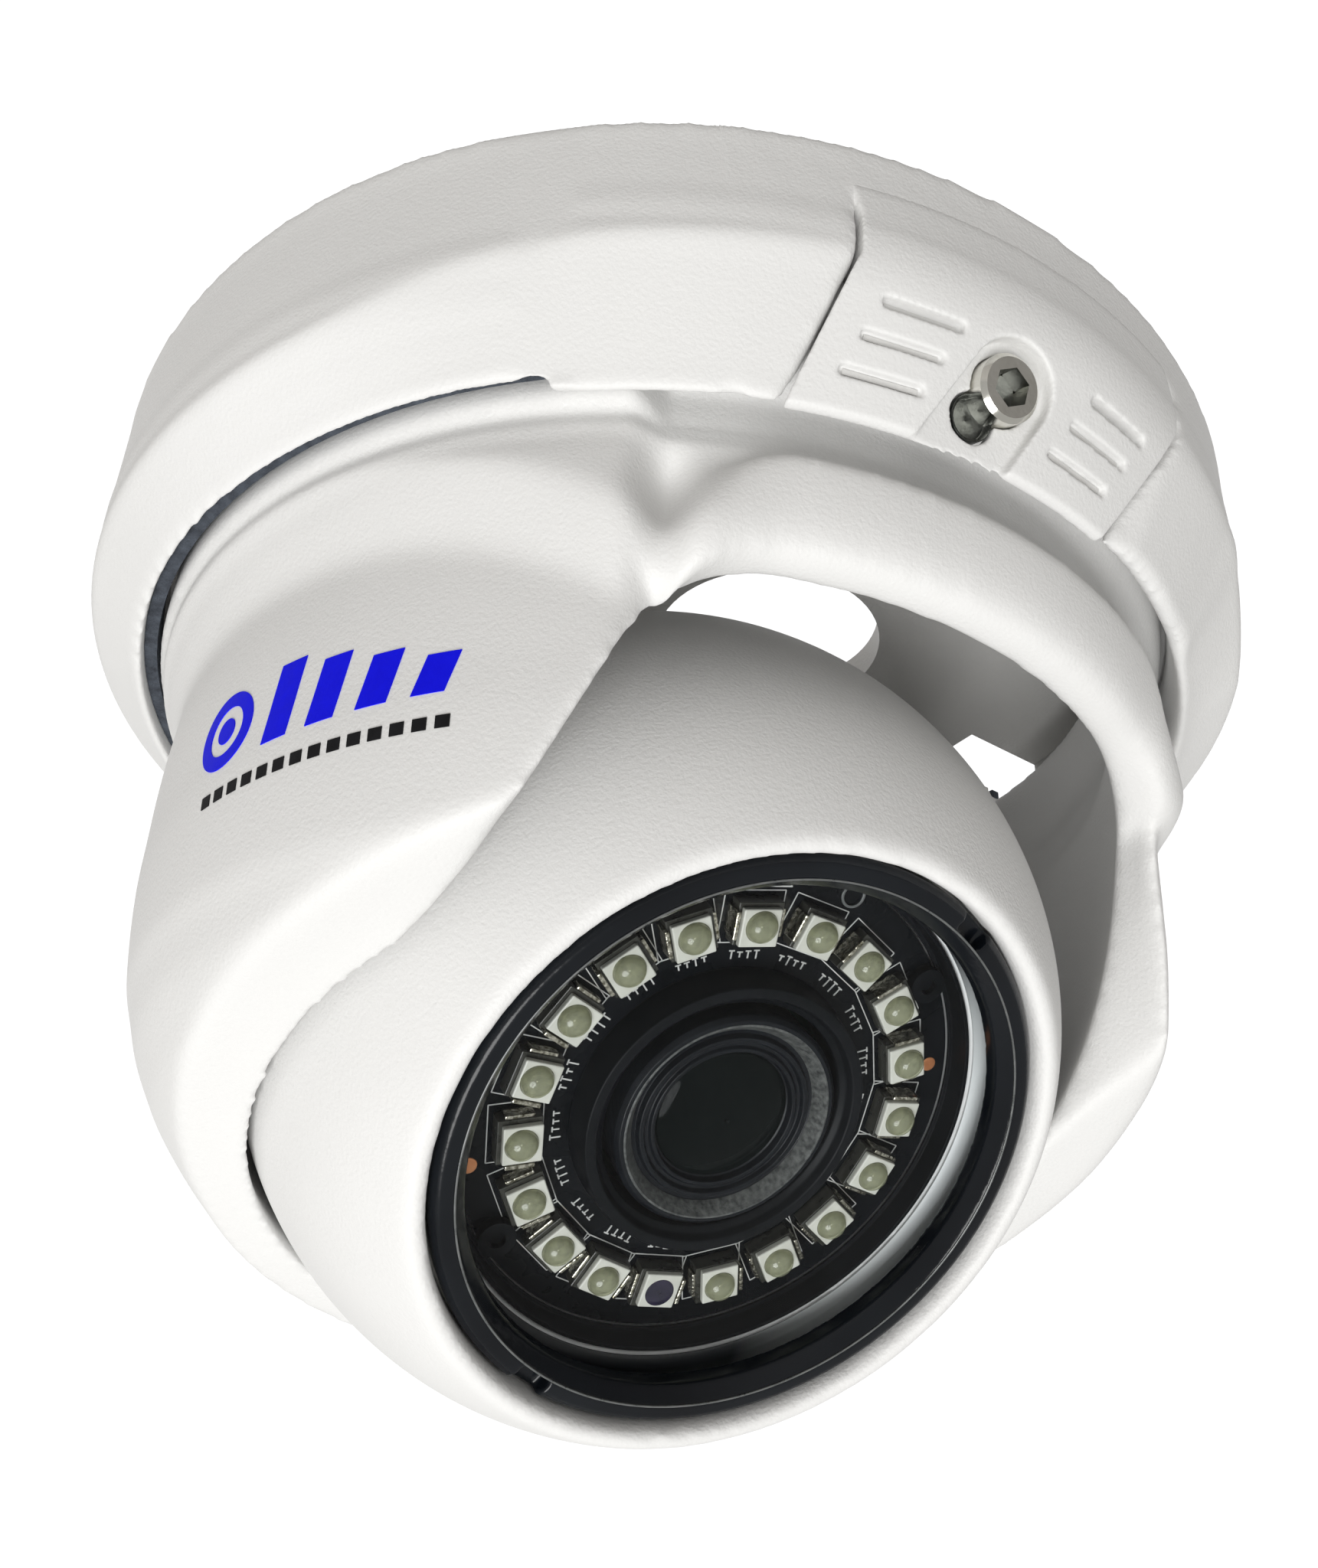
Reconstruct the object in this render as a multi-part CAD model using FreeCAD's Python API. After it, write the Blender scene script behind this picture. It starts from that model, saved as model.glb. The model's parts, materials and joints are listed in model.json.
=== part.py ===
"""Ceiling-mounted dome (turret) CCTV camera, in millimetres.

Frame: origin at the centre of the mounting face, +Z into the ceiling, the body hangs towards -Z.
The camera looks towards -Y; the tilt pins lie along X.
Parts of the ball are drawn in the ball's own frame (origin at the ball centre, +Z along the line
of sight, +Y towards the top of the picture) and are then turned to the rest tilt.
"""
import FreeCAD, Part
import os
from math import asin, cos, degrees, hypot, radians, sin, sqrt, tan

# ---------------------------------------------------------------- driving dimensions
BASE_R = 47.0             # outer radius of the base at the ceiling
BASE_WALL_Z = -12.0       # where the wall turns into the cone
BASE_WALL_R = 46.6
LIP_R, LIP_Z = 42.4, -18.0
BORE_R = 43.8             # inner radius of the base wall
LEDGE_R = 41.0            # opening that the bracket neck hangs through
LEDGE_TOP_Z, LEDGE_LOW_Z = -11.4, -14.4
RABBET_R, RABBET_Z = 45.0, -3.0
PAD_LIP_R, PAD_LIP_Z = 41.6, -18.6      # lip of the thickened front stretch of the base
PAD_WALL_Z = -8.6         # shoulder of that stretch
PAD_FROM, PAD_TO = -134.0, -30.0        # azimuths of that stretch

BLOCK_AZ = -95.3          # middle of the clamp block
BLOCK_HALF = 15.7         # half its width, degrees
BLOCK_TOP_Z = -5.0
BLOCK_LEAN = 22.0         # its sides lean along the ring by this angle
SLIT = 0.3                # gap beside the block, degrees
SCREW_SLOPE = 25.0        # the lock screw points down by this angle
SCREW_R, SCREW_Z = 44.45, -14.2         # where its axis meets the face of the block
GROOVE_LONG, GROOVE_WIDE, GROOVE_STEP = 5.6, 0.7, 2.35
GROOVE_AZ = 10.2          # middle of each set of grooves, degrees from the middle of the block

PLATE_HOLE_R = 10.0       # opening for the cable, set towards the side exit
PLATE_HOLE_X, PLATE_HOLE_Y = 8.5, -3.5
MOUNT_PCD, MOUNT_HOLE_R = 60.0, 2.1
MOUNT_AZ = (30.0, 150.0, 270.0)
BOSS_AZ = (60.0, 180.0, 300.0)
BOSS_R = 41.6             # circle of the screws that hold the plate in the base
CABLE_NOTCH = 9.0         # width of the side cable exit, on +X

FLANGE_R, FLANGE_TOP_Z, FLANGE_LOW_Z = 43.3, -8.2, -11.0
NECK_R, NECK_LOW_Z = 40.6, -17.8
COWL_BORE_R = 36.8
SLOT_TOP_Z, SLOT_TOP_HALF, SLOT_SLOPE, SLOT_CORNER = -25.0, 20.5, 0.25, 8.0
SKIRT_Z, SKIRT_SLOPE = -52.6, 0.33      # lower edge of the cowl: z = SKIRT_Z - SKIRT_SLOPE * y

BALL_Z = -40.0
BALL_R = 30.0
BALL_WALL = 2.6
BALL_GAP = 0.6            # between ball and cowl
TILT = 42.0               # line of sight away from straight down, at rest
SPLIT_H = -9.0            # where front and rear ball shells meet
FRONT_H = 20.2            # front face of the ball
BEZEL_R = 20.8
WINDOW_R = 20.4
CUP_R = 18.6              # inner wall in front of the LED board
BOARD_R, BOARD_HOLE_R = 17.8, 9.2
BOARD_LOW_H, BOARD_TOP_H = 11.6, 13.0
LED_CIRCLE_R = 13.9
LED_COUNT = 19            # places on the circle: 18 LEDs and one light sensor
LED_LONG, LED_SHORT, LED_TALL = 3.7, 3.0, 1.7
SENSOR_PLACE = 10         # counted from the top, against the clock
BOARD_SCREW_R, BOARD_SCREW_ANGLES = 16.75, (51.0, 231.0)

PIN_R = 2.0
PIN_CLEARANCE = 0.05
PAD_FACE_X = 30.5         # inner face of the bracket's pivot pads
BUSH_R = 3.5
BUSH_IN_X, BUSH_OUT_X = 25.2, 29.6

PCB = 1.4
IMAGE_BOARD_H, IMAGE_BOARD_SIZE = -2.0, 34.0
POWER_BOARD_H, POWER_BOARD_SIZE = -9.4, 30.0
STANDOFF_XY, STANDOFF_R = 13.0, 2.0
SHELL_SCREW_R = 23.4
SHELL_SCREW_ANGLES = (65.0, 115.0, 245.0, 295.0)


# ---------------------------------------------------------------- helpers
def vec(x, y, z):
    return FreeCAD.Vector(x, y, z)


X_AXIS, Y_AXIS, Z_AXIS = vec(1, 0, 0), vec(0, 1, 0), vec(0, 0, 1)
ORIGIN = vec(0, 0, 0)


def profile(points):
    """Face in the XZ plane from (r, z) corners; (r, z, 'arc') makes its neighbours an arc through it."""
    spots = [vec(p[0], 0, p[1]) for p in points]
    curved = [len(p) > 2 for p in points]
    edges = []
    i = 0
    while i < len(points):
        j = (i + 1) % len(points)
        if curved[j]:
            k = (j + 1) % len(points)
            edges.append(Part.Arc(spots[i], spots[j], spots[k]).toShape())
            i += 2
        else:
            edges.append(Part.LineSegment(spots[i], spots[j]).toShape())
            i += 1
    return Part.Face(Part.Wire(edges))


def turned(points, start=0.0, sweep=360.0):
    """Solid of revolution about Z, from azimuth start over sweep degrees."""
    solid = profile(points).revolve(ORIGIN, Z_AXIS, sweep)
    if start:
        solid.rotate(ORIGIN, Z_AXIS, start)
    return solid


def ring(r_out, r_in, z_low, z_high):
    return turned([(r_in, z_low), (r_out, z_low), (r_out, z_high), (r_in, z_high)])


def disc(radius, z_low, z_high, x=0.0, y=0.0):
    return Part.makeCylinder(radius, z_high - z_low, vec(x, y, z_low))


def rod_x(radius, x_low, x_high, z=0.0):
    return Part.makeCylinder(radius, x_high - x_low, vec(x_low, 0, z), X_AXIS)


def block(x_size, y_size, z_low, z_high, x=0.0, y=0.0):
    return Part.makeBox(x_size, y_size, z_high - z_low, vec(x - x_size / 2, y - y_size / 2, z_low))


def around(shape, angle):
    """Copy of a shape turned about Z."""
    copy = shape.copy()
    copy.rotate(ORIGIN, Z_AXIS, angle)
    return copy


def polar(radius, angle):
    return radius * cos(radians(angle)), radius * sin(radians(angle))


def joined(shapes):
    result = shapes[0]
    for shape in shapes[1:]:
        result = result.fuse(shape)
    return result.removeSplitter()


def in_ball(shape):
    """Place a shape from the ball's own frame into the object's frame at the rest tilt."""
    placed = shape.copy()
    placed.rotate(ORIGIN, X_AXIS, 180.0 - TILT)
    placed.translate(vec(0, 0, BALL_Z))
    return placed


def save(name, shape):
    if shape.ShapeType == "Compound" and len(shape.Solids) == 1:
        shape = shape.Solids[0]
    shape.exportStep("parts/" + name + ".step")


def group(solids):
    return Part.makeCompound(solids)


def on_sphere(radius, height):
    return sqrt(radius ** 2 - height ** 2)


# ---------------------------------------------------------------- base
def base_stretch(wall_z, lip_r, lip_z, mouth_r, start, sweep):
    """Stretch of the cast ring that covers the mounting plate, with its ledge and lip."""
    return turned([
        (BASE_R, 0), (BASE_WALL_R, wall_z + 2.4), (BASE_WALL_R - 0.5, wall_z - 0.6, "arc"),
        (BASE_WALL_R - 1.6, wall_z - 3.0), (lip_r + 0.2, lip_z + 0.6), (lip_r - 0.2, lip_z, "arc"),
        (mouth_r, lip_z + 0.2), (mouth_r, LEDGE_LOW_Z), (LEDGE_R, LEDGE_LOW_Z),
        (LEDGE_R, LEDGE_TOP_Z), (BORE_R, LEDGE_TOP_Z), (BORE_R, RABBET_Z), (RABBET_R, RABBET_Z),
        (RABBET_R, 0)], start, sweep)


def block_sector(half, grow):
    """Stretch of the ring that the clamp block fills; grow widens it for the recess."""
    outline = [
        (BASE_R + 3 * grow, BLOCK_TOP_Z), (BASE_WALL_R + 0.25 + 3 * grow, PAD_WALL_Z + 1.5),
        (BASE_WALL_R - 0.1 + 3 * grow, PAD_WALL_Z - 1.3, "arc"),
        (BASE_WALL_R - 0.95 + 3 * grow, PAD_WALL_Z - 3.4),
        (PAD_LIP_R + 0.2 + 3 * grow, PAD_LIP_Z - 0.1 - grow), (LEDGE_R - grow, PAD_LIP_Z - 0.1 - grow),
        (LEDGE_R - grow, LEDGE_TOP_Z), (BORE_R, LEDGE_TOP_Z), (BORE_R, BLOCK_TOP_Z)]
    wedge = turned([(20, -45), (70, -45), (70, 20), (20, 20)], -half, 2 * half)
    wedge.rotate(vec(0, 0, SCREW_Z), X_AXIS, -BLOCK_LEAN)
    return turned(outline, -2 * half, 4 * half).common(wedge)


def along_lock_screw(shape):
    """Move a shape drawn along +Z at the origin so that +Z is the lock screw's outward axis."""
    placed = shape.copy()
    placed.rotate(ORIGIN, Y_AXIS, 90.0 + SCREW_SLOPE)
    placed.translate(vec(SCREW_R, 0, SCREW_Z))
    return around(placed, BLOCK_AZ)


def clamp_channel():
    """Round-ended channel and holes that the lock screw sits in."""
    channel = disc(3.1, -1.3, 4.0).fuse(Part.makeBox(9.0, 6.2, 5.3, vec(0, -3.1, -1.3)))
    channel.rotate(ORIGIN, Z_AXIS, -BLOCK_LEAN)
    screw_bore = disc(2.3, -6.0, 4.0)
    side_hole = disc(1.7, -3.4, 4.0, 2.4, -1.6)
    return [along_lock_screw(s) for s in (channel, screw_bore, side_hole)]


def clamp_grooves():
    """Three short grip grooves on each side of the channel."""
    cutters = []
    slope = degrees(asin((BASE_WALL_R - 1.6 - PAD_LIP_R) / hypot(BASE_WALL_R - 1.6 - PAD_LIP_R, 7.0)))
    for side in (-1, 1):
        for row in (-1, 0, 1):
            bar = Part.makeBox(1.2, GROOVE_LONG, GROOVE_WIDE, vec(-0.6, -GROOVE_LONG / 2, -GROOVE_WIDE / 2))
            bar.rotate(ORIGIN, Y_AXIS, slope)
            drop = row * GROOVE_STEP
            bar.translate(vec(SCREW_R - 0.25 - 0.1 * abs(row) + drop * sin(radians(slope)), 0,
                              SCREW_Z - 0.15 + drop * cos(radians(slope))))
            shift = degrees(drop * tan(radians(BLOCK_LEAN)) / SCREW_R)
            cutters.append(around(bar, BLOCK_AZ + side * GROOVE_AZ + shift))
    return cutters


def plate_boss():
    """Pad inside the base wall that takes one plate screw, at azimuth 0."""
    pad = Part.makeBox(BORE_R + 0.6 - 39.2, 7.0, -FLANGE_TOP_Z - 0.4 + RABBET_Z,
                       vec(39.2, -3.5, FLANGE_TOP_Z + 0.4))
    return pad.cut(disc(1.05, FLANGE_TOP_Z, 0.0, BOSS_R))


def make_base():
    pad_sweep = PAD_TO - PAD_FROM
    plain = base_stretch(BASE_WALL_Z, LIP_R, LIP_Z, LIP_R - 0.5, PAD_TO, 360.0 - pad_sweep)
    pad = base_stretch(PAD_WALL_Z, PAD_LIP_R, PAD_LIP_Z, LEDGE_R + 0.05, PAD_FROM, pad_sweep)
    ring_body = joined([plain, pad] + [around(plate_boss(), az) for az in BOSS_AZ])
    recess = around(block_sector(BLOCK_HALF + SLIT, 0.6), BLOCK_AZ)
    notch = Part.makeBox(10.0, CABLE_NOTCH, 6.0, vec(40.0, -CABLE_NOTCH / 2, -5.5))
    gasket_groove = ring(46.4, 45.5, -0.8, 0.5)
    save("base_ring", ring_body.cut(recess).cut(notch).cut(gasket_groove))

    clamp = around(block_sector(BLOCK_HALF, 0.0), BLOCK_AZ)
    for cutter in clamp_channel() + clamp_grooves():
        clamp = clamp.cut(cutter)
    save("clamp_block", clamp)

    gasket = ring(46.4, 45.5, -0.8, 0.0).cut(notch)
    save("ceiling_gasket", gasket)

    foam_from = PAD_TO + 0.6
    foam_sweep = 360.0 - (PAD_TO - PAD_FROM) - 1.2
    foam = turned([(LEDGE_R - 0.05, LEDGE_LOW_Z - 2.2), (LIP_R - 0.5, LEDGE_LOW_Z - 2.2),
                   (LIP_R - 0.5, LEDGE_LOW_Z), (LEDGE_R - 0.05, LEDGE_LOW_Z)], foam_from, foam_sweep)
    save("lip_seal", foam)


def make_plate():
    """Plate that is screwed to the ceiling, with the skirt that keeps the bracket on its ledge."""
    plate = disc(RABBET_R - 0.1, RABBET_Z, 0.0).cut(disc(PLATE_HOLE_R, -6.0, 1.0, PLATE_HOLE_X, PLATE_HOLE_Y))
    skirt = ring(BORE_R - 0.3, BORE_R - 1.9, FLANGE_TOP_Z + 0.4, RABBET_Z)
    for az in BOSS_AZ:
        skirt = skirt.cut(around(Part.makeBox(8.0, 8.4, 8.0, vec(39.0, -4.2, -9.0)), az))
    plate = plate.fuse(skirt)
    for az in MOUNT_AZ:
        x, y = polar(MOUNT_PCD / 2, az)
        stiffener = disc(4.6, RABBET_Z - 1.2, RABBET_Z, x, y)
        plate = plate.fuse(stiffener).cut(disc(MOUNT_HOLE_R, -6.0, 1.0, x, y))
    for az in BOSS_AZ:
        x, y = polar(BOSS_R, az)
        sink = Part.makeCone(1.25, 2.4, 1.2, vec(x, y, -1.2))
        plate = plate.cut(disc(1.25, -6.0, 1.0, x, y)).cut(sink)
    notch = Part.makeBox(16.0, CABLE_NOTCH, 9.0, vec(33.0, -CABLE_NOTCH / 2, -8.5))
    save("mounting_plate", plate.cut(notch).removeSplitter())

    screws = []
    for az in BOSS_AZ:
        x, y = polar(BOSS_R, az)
        head = Part.makeCone(1.05, 2.2, 1.15, vec(x, y, -1.2))
        shank = disc(1.05, -7.0, -1.2, x, y)
        cross = block(2.4, 0.5, -0.7, 0.1, x, y).fuse(block(0.5, 2.4, -0.7, 0.1, x, y))
        screws.append(head.fuse(shank).cut(cross).removeSplitter())
    save("plate_screws", group(screws))


def make_lock_screw():
    """Hex-socket screw whose tip clamps the neck of the bracket."""
    socket = Part.Face(Part.makePolygon([vec(*polar(1.35, 60.0 * i), -1.8) for i in range(7)])).extrude(vec(0, 0, 3))
    rim = Part.makeCone(2.25, 1.95, 0.3, vec(0, 0, -0.5))
    screw = disc(2.25, -2.3, -0.5).fuse(rim).fuse(disc(1.2, -3.0, -2.3)).cut(socket)
    save("lock_screw", along_lock_screw(screw.removeSplitter()))


# ---------------------------------------------------------------- bracket
def slot_cutter():
    """Prism along Y, open downwards, that cuts the window slot out of the front of the cowl."""
    low_z = -70.0
    low_half = SLOT_TOP_HALF + SLOT_SLOPE * (SLOT_TOP_Z - low_z)
    corners = [vec(-low_half, 0, low_z), vec(-SLOT_TOP_HALF, 0, SLOT_TOP_Z),
               vec(SLOT_TOP_HALF, 0, SLOT_TOP_Z), vec(low_half, 0, low_z)]
    prism = Part.Face(Part.makePolygon(corners + corners[:1])).extrude(vec(0, -60, 0))
    upper = [e for e in prism.Edges if all(abs(v.Point.z - SLOT_TOP_Z) < 1e-6 for v in e.Vertexes)
             and abs(e.Vertexes[0].Point.x - e.Vertexes[1].Point.x) < 1e-6]
    return prism.makeFillet(SLOT_CORNER, upper)


def cowl_body():
    """Cast shell that hangs in the base and holds the ball."""
    inner_r = BALL_R + BALL_GAP
    seat_z = BALL_Z - 7.0
    end_z = BALL_Z - 26.0
    middle_z = (seat_z + end_z) / 2
    outline = [
        (COWL_BORE_R, FLANGE_TOP_Z), (FLANGE_R, FLANGE_TOP_Z), (FLANGE_R, FLANGE_LOW_Z),
        (NECK_R, FLANGE_LOW_Z), (NECK_R, NECK_LOW_Z), (NECK_R - 1.2, NECK_LOW_Z - 1.6, "arc"),
        (NECK_R - 1.6, NECK_LOW_Z - 3.6), (37.9, -36.0, "arc"), (34.0, -50.5), (29.8, -57.0, "arc"),
        (24.0, -62.5), (on_sphere(inner_r, end_z - BALL_Z), end_z),
        (on_sphere(inner_r, middle_z - BALL_Z), middle_z, "arc"),
        (on_sphere(inner_r, seat_z - BALL_Z), seat_z), (34.5, -33.0, "arc"), (35.4, -20.5),
        (COWL_BORE_R, -17.0)]
    return turned(outline)


def make_bracket():
    cowl = cowl_body()
    for side in (-1, 1):
        pad = rod_x(6.0, PAD_FACE_X, 35.0) if side > 0 else rod_x(6.0, -35.0, -PAD_FACE_X)
        pad.translate(vec(0, 0, BALL_Z))
        cowl = cowl.fuse(pad)
    cowl = cowl.cut(slot_cutter())
    below = Part.makeBox(120, 140, 60, vec(-60, -70, -60))
    below.rotate(ORIGIN, X_AXIS, -degrees(asin(SKIRT_SLOPE / hypot(1, SKIRT_SLOPE))))
    below.translate(vec(0, 0, SKIRT_Z))
    cowl = cowl.cut(below)
    for side in (-1, 1):
        low, high = sorted((side * (PAD_FACE_X - 1), side * 34.8))
        hole = rod_x(1.5, low, high, BALL_Z)
        cowl = cowl.cut(hole)
    save("bracket_cowl", cowl.removeSplitter())

    pins, washers = [], []
    for side in (-1, 1):
        pin = (rod_x(1.5, PAD_FACE_X, 34.6).fuse(rod_x(PIN_R, 24.3, PAD_FACE_X)).fuse(rod_x(3.4, 22.4, 24.3))
               .cut(rod_x(1.2, 22.0, 23.5)).removeSplitter())
        washer = rod_x(3.6, 24.3, 24.9).cut(rod_x(PIN_R, 24.0, 25.0))
        for shape, bucket in ((pin, pins), (washer, washers)):
            placed = shape.copy()
            placed.translate(vec(0, 0, BALL_Z))
            if side < 0:
                placed.rotate(vec(0, 0, BALL_Z), Z_AXIS, 180)
            bucket.append(placed)
    save("pivot_screws", group(pins))
    save("friction_washers", group(washers))


# ---------------------------------------------------------------- ball shells
def shell_screw_spots():
    return [polar(SHELL_SCREW_R, angle) for angle in SHELL_SCREW_ANGLES]


def make_ball_shells():
    inner = BALL_R - BALL_WALL
    rim_r = on_sphere(BALL_R, FRONT_H - 0.3)
    front = turned([
        (on_sphere(BALL_R, SPLIT_H), SPLIT_H), (BALL_R, 0, "arc"), (rim_r, FRONT_H - 0.3),
        (rim_r - 0.6, FRONT_H + 0.1, "arc"), (BEZEL_R + 0.2, FRONT_H - 0.3), (BEZEL_R + 0.2, 15.0),
        (CUP_R, 15.0), (CUP_R, BOARD_LOW_H), (15.8, BOARD_LOW_H), (15.8, 9.8), (20.6, 9.8), (20.6, 13.0),
        (on_sphere(inner, 13.0), 13.0), (inner, 0, "arc"), (on_sphere(inner, SPLIT_H), SPLIT_H)])
    full_ball = Part.makeSphere(BALL_R)
    for x, y in shell_screw_spots():
        boss = disc(2.8, SPLIT_H, -2.0, x, y).common(full_ball)
        front = front.fuse(boss).cut(disc(1.0, SPLIT_H - 1, -3.5, x, y))
    for side in (-1, 1):
        low, high = sorted((side * BUSH_IN_X, side * (BUSH_OUT_X - 0.4)))
        boss = rod_x(5.6, low, high).common(full_ball)
        bore_low, bore_high = sorted((side * (BUSH_IN_X - 1), side * 31))
        flat_low, flat_high = sorted((side * BUSH_OUT_X, side * 31))
        front = front.fuse(boss).cut(rod_x(BUSH_R, bore_low, bore_high)).cut(rod_x(8, flat_low, flat_high))
    seal_space = ring(27.9, 26.9, SPLIT_H, SPLIT_H + 0.9)
    save("ball_front_shell", in_ball(front.cut(seal_space).removeSplitter()))
    save("shell_seal", in_ball(seal_space))

    rear = turned([
        (on_sphere(BALL_R, SPLIT_H), SPLIT_H), (on_sphere(BALL_R, -22.0), -22.0, "arc"), (5.6, -29.4),
        (4.0, -29.4), (4.0, -26.6), (on_sphere(inner, -26.6), -26.6),
        (on_sphere(inner, -20.0), -20.0, "arc"), (on_sphere(inner, SPLIT_H), SPLIT_H)])
    screws = []
    for x, y in shell_screw_spots():
        boss = disc(3.4, -17.5, SPLIT_H, x, y).common(full_ball)
        rear = rear.fuse(boss).cut(disc(1.15, -30, 0, x, y)).cut(disc(2.3, -30, -13.6, x, y))
        screw = disc(2.1, -15.6, -13.6, x, y).fuse(disc(1.0, -13.6, -5.0, x, y))
        screws.append(screw.cut(disc(1.0, -16.0, -14.4, x, y)).removeSplitter())
    save("ball_rear_shell", in_ball(rear.removeSplitter()))
    save("shell_screws", in_ball(group(screws)))

    bushes = []
    for side in (-1, 1):
        low, high = sorted((side * BUSH_IN_X, side * BUSH_OUT_X))
        bushes.append(rod_x(BUSH_R, low, high).cut(rod_x(PIN_R + PIN_CLEARANCE, low - 1, high + 1)))
    save("pivot_bushes", in_ball(group(bushes)))

    gland = turned([(2.0, -31.2), (4.6, -31.2), (5.4, -30.4), (5.4, -29.4), (4.0, -29.4), (4.0, -24.4), (2.0, -24.4)])
    nut = Part.Face(Part.makePolygon([vec(*polar(6.4, 60.0 * i), -26.6) for i in range(7)])).extrude(vec(0, 0, 2))
    save("cable_gland", in_ball(gland))
    save("gland_nut", in_ball(nut.cut(disc(4.0, -28, -20))))


# ---------------------------------------------------------------- window and illuminator
def make_window():
    bezel = turned([(18.4, 17.2), (BEZEL_R, 17.2), (BEZEL_R, 19.0), (BEZEL_R - 0.5, 19.5), (19.3, 19.5), (18.4, 18.4)])
    for angle in (70.0, 250.0):
        slot = Part.makeBox(1.9, 2.6, 1.6, vec(19.4, -1.3, 18.3))
        bezel = bezel.cut(around(slot, angle))
    save("bezel_ring", in_ball(bezel))
    save("window_glass", in_ball(disc(WINDOW_R, 15.6, 17.2)))
    save("window_gasket", in_ball(ring(WINDOW_R, CUP_R + 0.2, 15.0, 15.6)))


def led_places():
    """Angles round the line of sight of the 19 places on the board, from the top, against the clock."""
    return [90.0 + 360.0 / LED_COUNT * place for place in range(LED_COUNT)]


def make_illuminator():
    board = ring(BOARD_R, BOARD_HOLE_R, BOARD_LOW_H, BOARD_TOP_H)
    board_screws = []
    for angle in BOARD_SCREW_ANGLES:
        x, y = polar(BOARD_SCREW_R, angle)
        board = board.cut(disc(0.8, 10, 15, x, y))
        board_screws.append(disc(0.8, BOARD_LOW_H, BOARD_TOP_H, x, y).fuse(
            disc(1.3, BOARD_TOP_H, BOARD_TOP_H + 0.8, x, y)).cut(
            disc(0.6, BOARD_TOP_H + 0.3, BOARD_TOP_H + 2, x, y)).removeSplitter())
    save("led_board", in_ball(board))
    save("led_board_screws", in_ball(group(board_screws)))

    bodies, domes = [], []
    for place, angle in enumerate(led_places()):
        body = block(LED_SHORT, LED_LONG, BOARD_TOP_H, BOARD_TOP_H + LED_TALL, LED_CIRCLE_R)
        if place == SENSOR_PLACE:
            well = disc(1.1, BOARD_TOP_H + LED_TALL - 0.4, 20, LED_CIRCLE_R)
            save("light_sensor", in_ball(around(body.cut(well), angle)))
            continue
        dome = Part.makeSphere(1.35, vec(LED_CIRCLE_R, 0, BOARD_TOP_H + LED_TALL - 0.6)).common(
            disc(1.35, BOARD_TOP_H + LED_TALL, 20, LED_CIRCLE_R))
        bodies.append(around(body, angle))
        domes.append(around(dome, angle))
    save("ir_leds", in_ball(group(bodies)))
    save("led_lenses", in_ball(group(domes)))


# ---------------------------------------------------------------- lens and electronics
def make_lens():
    hood = turned([(8.5, BOARD_LOW_H), (9.2, BOARD_LOW_H), (9.2, BOARD_TOP_H), (10.2, BOARD_TOP_H),
                   (9.7, 15.4), (9.1, 15.4), (8.5, 14.6)])
    save("lens_hood", in_ball(hood))

    barrel = turned([(4.6, 3.6), (6.0, 3.6), (6.0, 9.2), (7.9, 9.2), (7.9, 13.6), (7.3, 14.2), (6.4, 13.2),
                     (5.6, 12.4), (5.6, 11.6), (4.6, 11.6)])
    save("lens_barrel", in_ball(barrel))
    dome = Part.makeSphere(10.0, vec(0, 0, 1.5))
    save("lens_front_glass", in_ball(disc(4.6, 8.0, 12.0).common(dome)))
    rear_glass = disc(4.6, 4.2, 6.4)
    save("lens_rear_glass", in_ball(rear_glass))

    board_top = IMAGE_BOARD_H + PCB
    holder = block(18, 18, board_top, board_top + 3.2).fuse(disc(7.6, board_top, 8.8))
    holder = holder.cut(disc(6.0, 3.0, 10.0)).cut(block(10, 8, board_top - 1, 2.0)).cut(block(8, 8, 2.0, 3.0))
    save("lens_holder", in_ball(holder.removeSplitter()))
    save("ir_cut_filter", in_ball(block(8, 8, 2.0, 2.6)))
    save("image_sensor", in_ball(block(9, 7, board_top, board_top + 1.2)))


def make_boards():
    corners = [(sx * STANDOFF_XY, sy * STANDOFF_XY) for sx in (-1, 1) for sy in (-1, 1)]

    def board(size, low):
        plate = block(size, size, low, low + PCB)
        for x, y in corners:
            plate = plate.cut(disc(1.0, low - 1, low + PCB + 1, x, y))
        return plate

    image_top = IMAGE_BOARD_H + PCB
    power_top = POWER_BOARD_H + PCB
    save("image_board", in_ball(board(IMAGE_BOARD_SIZE, IMAGE_BOARD_H)))
    save("power_board", in_ball(board(POWER_BOARD_SIZE, POWER_BOARD_H)))
    front = [disc(STANDOFF_R, image_top, 9.8, x, y).cut(disc(1.0, image_top, 4.0, x, y)) for x, y in corners]
    rear = [disc(STANDOFF_R, power_top, IMAGE_BOARD_H, x, y).cut(disc(1.0, power_top, IMAGE_BOARD_H, x, y))
            for x, y in corners]
    screws = [disc(1.9, POWER_BOARD_H - 1.4, POWER_BOARD_H, x, y).fuse(
        disc(1.0, POWER_BOARD_H, 3.0, x, y)).removeSplitter() for x, y in corners]
    save("front_standoffs", in_ball(group(front)))
    save("rear_standoffs", in_ball(group(rear)))
    save("board_screws", in_ball(group(screws)))
    plug = block(10, 4.5, POWER_BOARD_H - 4.0, POWER_BOARD_H, 0, 9)
    socket = block(7, 4.5, POWER_BOARD_H - 4.0, POWER_BOARD_H, 0, -9)
    hollow = [block(8.6, 3.1, POWER_BOARD_H - 5, POWER_BOARD_H - 1, 0, 9),
              block(5.6, 3.1, POWER_BOARD_H - 5, POWER_BOARD_H - 1, 0, -9)]
    save("cable_connectors", in_ball(group([plug.cut(hollow[0]), socket.cut(hollow[1])])))


os.makedirs("parts", exist_ok=True)
make_base()
make_plate()
make_lock_screw()
make_bracket()
make_ball_shells()
make_window()
make_illuminator()
make_lens()
make_boards()
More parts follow.
